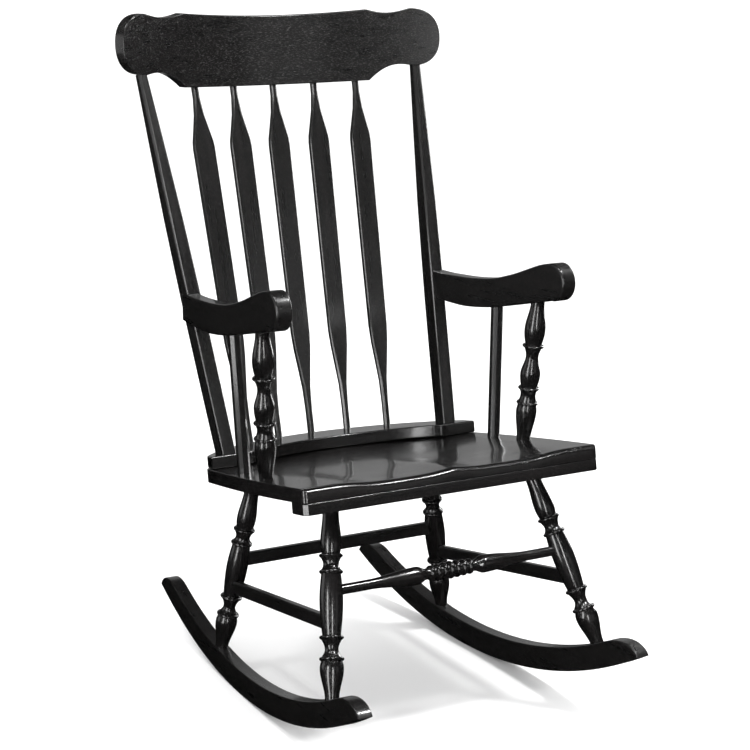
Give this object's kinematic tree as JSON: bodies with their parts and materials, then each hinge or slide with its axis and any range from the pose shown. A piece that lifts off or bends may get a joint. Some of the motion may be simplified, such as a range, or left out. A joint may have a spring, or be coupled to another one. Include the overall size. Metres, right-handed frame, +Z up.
{
  "type": "rocking chair",
  "caption": "Wooden rocking chair with a bent crest rail, arrow-shaped spindles, scrolled arms, turned legs and curved runners, in black lacquer.",
  "frame": {"origin": "on the floor, at the middle of the chair's footprint", "axes": "+Z up; the chair faces -Y; +X is the right-hand side when it is seen from the front"},
  "size_m": [0.641, 0.8632, 1.139],
  "materials": {
    "black_lacquered_wood": "satin-gloss black lacquer over open-grained hardwood",
    "fastener_steel": "blackened zinc"
  },
  "bodies": {
    "root": {"seat_plank": "black_lacquered_wood", "seat_front_strip": "black_lacquered_wood", "seat_back_rail": "black_lacquered_wood", "crest_rail": "black_lacquered_wood", "back_post_left": "black_lacquered_wood", "back_post_right": "black_lacquered_wood", "spindle_1": "black_lacquered_wood", "spindle_2": "black_lacquered_wood", "spindle_3": "black_lacquered_wood", "spindle_4": "black_lacquered_wood", "spindle_5": "black_lacquered_wood", "arm_left": "black_lacquered_wood", "arm_right": "black_lacquered_wood", "arm_baluster_left": "black_lacquered_wood", "arm_baluster_right": "black_lacquered_wood", "arm_stick_left": "black_lacquered_wood", "arm_stick_right": "black_lacquered_wood", "leg_front_left": "black_lacquered_wood", "leg_front_right": "black_lacquered_wood", "leg_back_left": "black_lacquered_wood", "leg_back_right": "black_lacquered_wood", "front_stretcher": "black_lacquered_wood", "side_stretcher_left": "black_lacquered_wood", "side_stretcher_right": "black_lacquered_wood", "back_stretcher": "black_lacquered_wood", "rocker_left": "black_lacquered_wood", "rocker_right": "black_lacquered_wood", "rocker_screw_front_left": "fastener_steel", "rocker_screw_front_right": "fastener_steel", "rocker_screw_back_left": "fastener_steel", "rocker_screw_back_right": "fastener_steel", "rail_screw_left": "fastener_steel", "rail_screw_right": "fastener_steel", "arm_bolt_left": "fastener_steel", "arm_bolt_right": "fastener_steel"}
  },
  "joints": []
}
